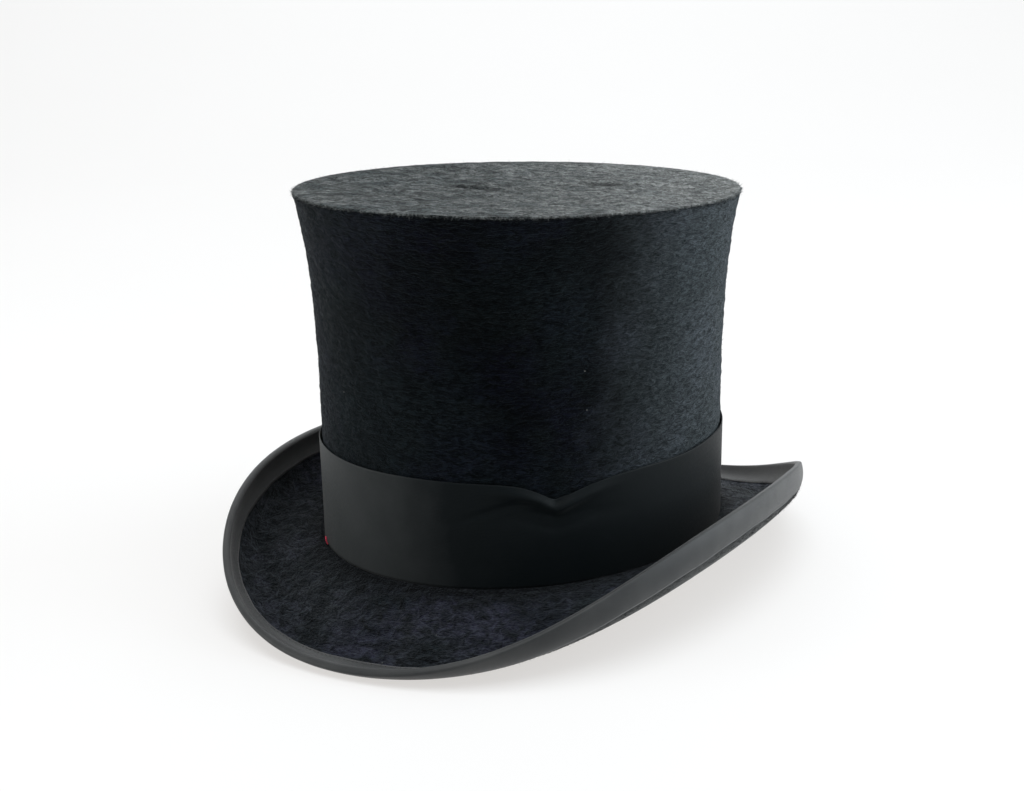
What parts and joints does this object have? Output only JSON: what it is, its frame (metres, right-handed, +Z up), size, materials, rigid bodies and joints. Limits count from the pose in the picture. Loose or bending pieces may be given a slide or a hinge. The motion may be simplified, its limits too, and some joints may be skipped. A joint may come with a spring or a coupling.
{
  "type": "top hat",
  "caption": "Silk-plush top hat with a bell crown, cloth band, ribbon-bound brim rolled up at the sides, leather sweatband and satin lining.",
  "frame": {"origin": "middle of the hat's outline, on the surface that it stands on", "axes": "+Z up, front of the hat towards -Y, +X towards the wearer's left"},
  "size_m": [0.236, 0.314, 0.181],
  "materials": {
    "plush": "short brushed nap, soft sheen",
    "band_cloth": "fine dull cloth",
    "ribbon": "fine cross ribs",
    "under_cloth": "fine dull cloth",
    "stiffened_cloth": "shellac-stiffened weave",
    "tape": "plain cotton weave",
    "leather": "smooth, satin",
    "satin": "glossy satin",
    "reed": "smooth",
    "thread": "twisted thread",
    "light_thread": "twisted thread",
    "red_thread": "twisted thread"
  },
  "bodies": {
    "root": {"crown_shell": "stiffened_cloth", "tip_shell": "stiffened_cloth", "brim_shell": "stiffened_cloth", "joint_strip": "tape", "tip_joint_strip": "tape", "side_plush": "plush", "tip_plush": "plush", "upper_brim_plush": "plush", "under_brim_cover": "under_cloth", "brim_binding": "ribbon", "binding_lap": "ribbon", "binding_stitches": "thread", "hat_band": "band_cloth", "hat_band_lap": "band_cloth", "hat_band_stitches": "thread", "red_thread_ends": "red_thread", "sweatband": "leather", "sweatband_reed": "reed", "sweatband_stitches": "light_thread", "sweatband_bow": "ribbon", "side_lining": "satin", "tip_lining": "satin"}
  },
  "joints": []
}
